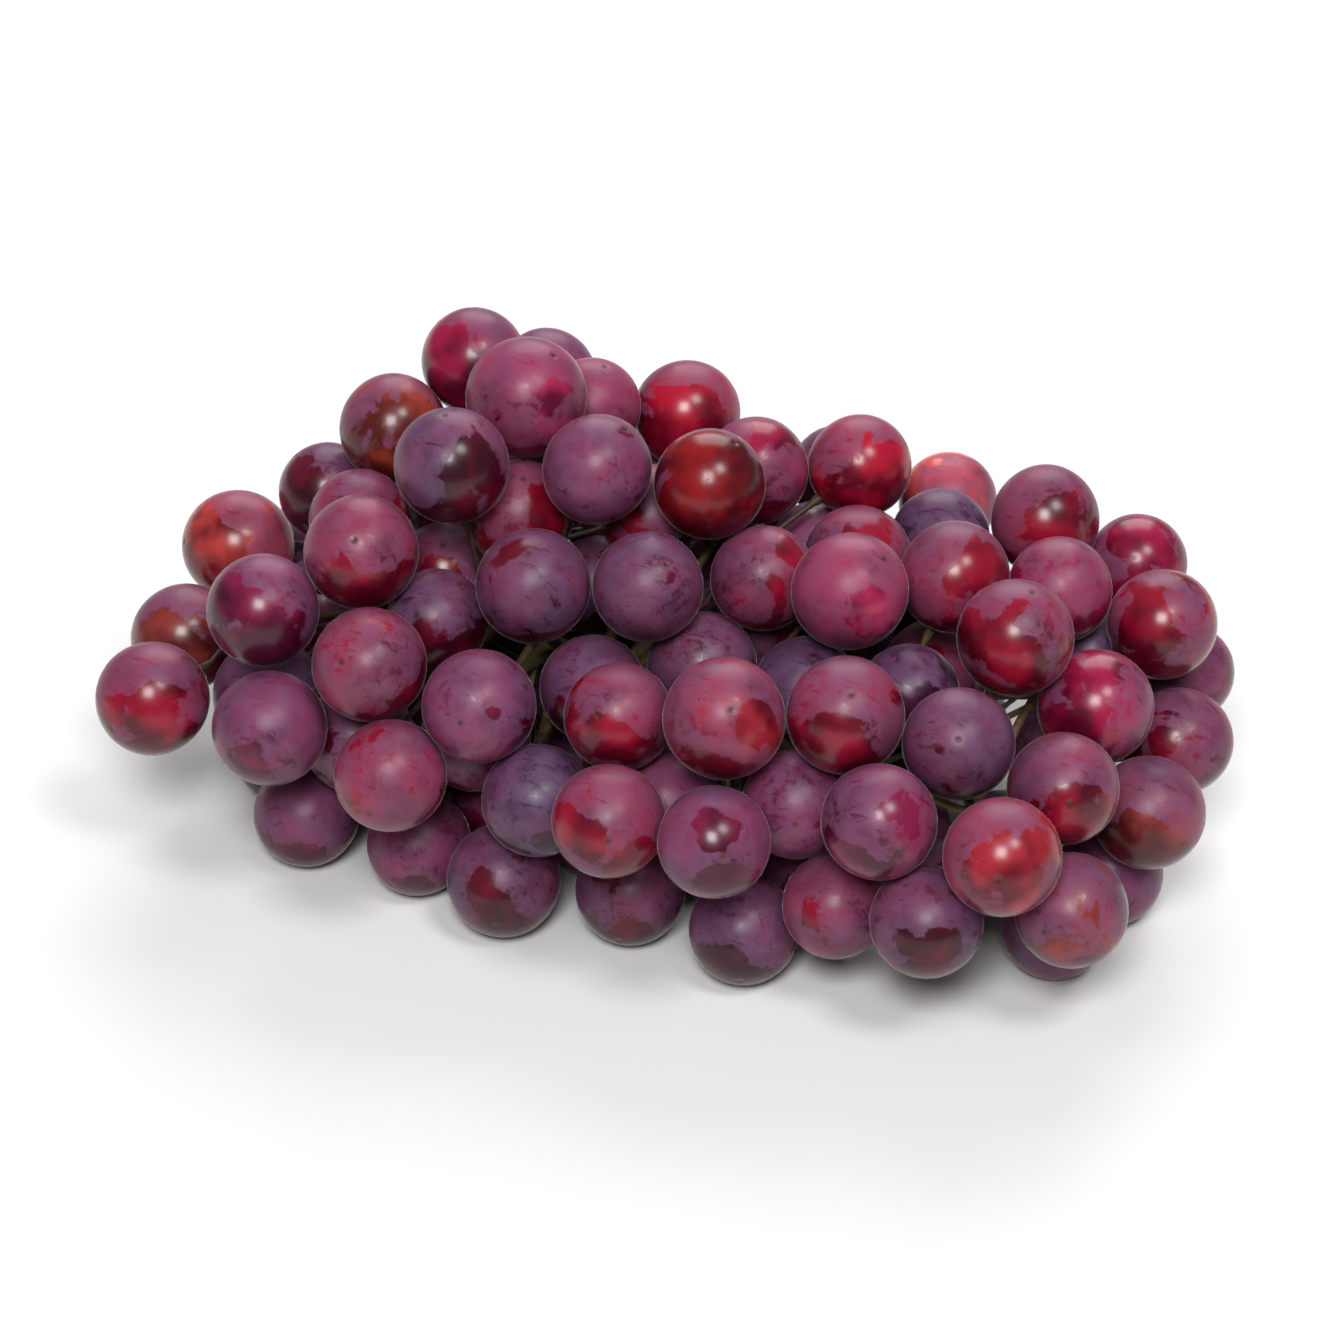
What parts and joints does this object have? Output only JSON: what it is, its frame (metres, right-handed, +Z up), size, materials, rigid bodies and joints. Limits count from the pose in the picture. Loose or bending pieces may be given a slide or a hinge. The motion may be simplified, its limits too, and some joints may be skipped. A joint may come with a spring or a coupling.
{
  "type": "bunch of grapes",
  "caption": "Bunch of round red table grapes lying on its side, berries packed on one branching stem with a short cut stalk.",
  "frame": {"origin": "on the surface that the bunch lies on, under the middle of its bounding box", "axes": "+X along the bunch towards its tip, +Y towards the side where the cut stalk comes out, +Z up"},
  "size_m": [0.2002, 0.12, 0.0878],
  "materials": {
    "berry_skin": "glossy where rubbed, with patches of matt grey-mauve wax bloom",
    "inner_berry_skin": "matt wax bloom over dark red",
    "stem_wood": "matt, green to brown"
  },
  "bodies": {
    "root": {"berry_01": "berry_skin", "berry_02": "berry_skin", "berry_03": "berry_skin", "berry_04": "berry_skin", "berry_05": "berry_skin", "berry_06": "berry_skin", "berry_07": "berry_skin", "berry_08": "berry_skin", "berry_09": "berry_skin", "berry_10": "berry_skin", "berry_11": "berry_skin", "berry_12": "berry_skin", "berry_13": "berry_skin", "berry_14": "berry_skin", "berry_15": "berry_skin", "berry_16": "berry_skin", "berry_17": "berry_skin", "berry_18": "berry_skin", "berry_19": "berry_skin", "berry_20": "berry_skin", "berry_21": "berry_skin", "berry_22": "berry_skin", "berry_23": "berry_skin", "berry_24": "berry_skin", "berry_25": "berry_skin", "berry_26": "berry_skin", "berry_27": "berry_skin", "berry_28": "berry_skin", "berry_29": "berry_skin", "berry_30": "berry_skin", "berry_31": "berry_skin", "berry_32": "berry_skin", "berry_33": "berry_skin", "berry_34": "berry_skin", "berry_35": "berry_skin", "berry_36": "berry_skin", "berry_37": "berry_skin", "berry_38": "berry_skin", "berry_39": "berry_skin", "berry_40": "berry_skin", "berry_41": "berry_skin", "berry_42": "berry_skin", "berry_43": "berry_skin", "berry_44": "berry_skin", "berry_45": "berry_skin", "berry_46": "berry_skin", "berry_47": "berry_skin", "inner_berries_01": "inner_berry_skin", "inner_berries_02": "inner_berry_skin", "inner_berries_03": "inner_berry_skin", "inner_berries_04": "inner_berry_skin", "inner_berries_05": "inner_berry_skin", "inner_berries_06": "inner_berry_skin", "inner_berries_07": "inner_berry_skin", "inner_berries_08": "inner_berry_skin", "inner_berries_09": "inner_berry_skin", "inner_berries_10": "inner_berry_skin", "stem": "stem_wood"}
  },
  "joints": []
}
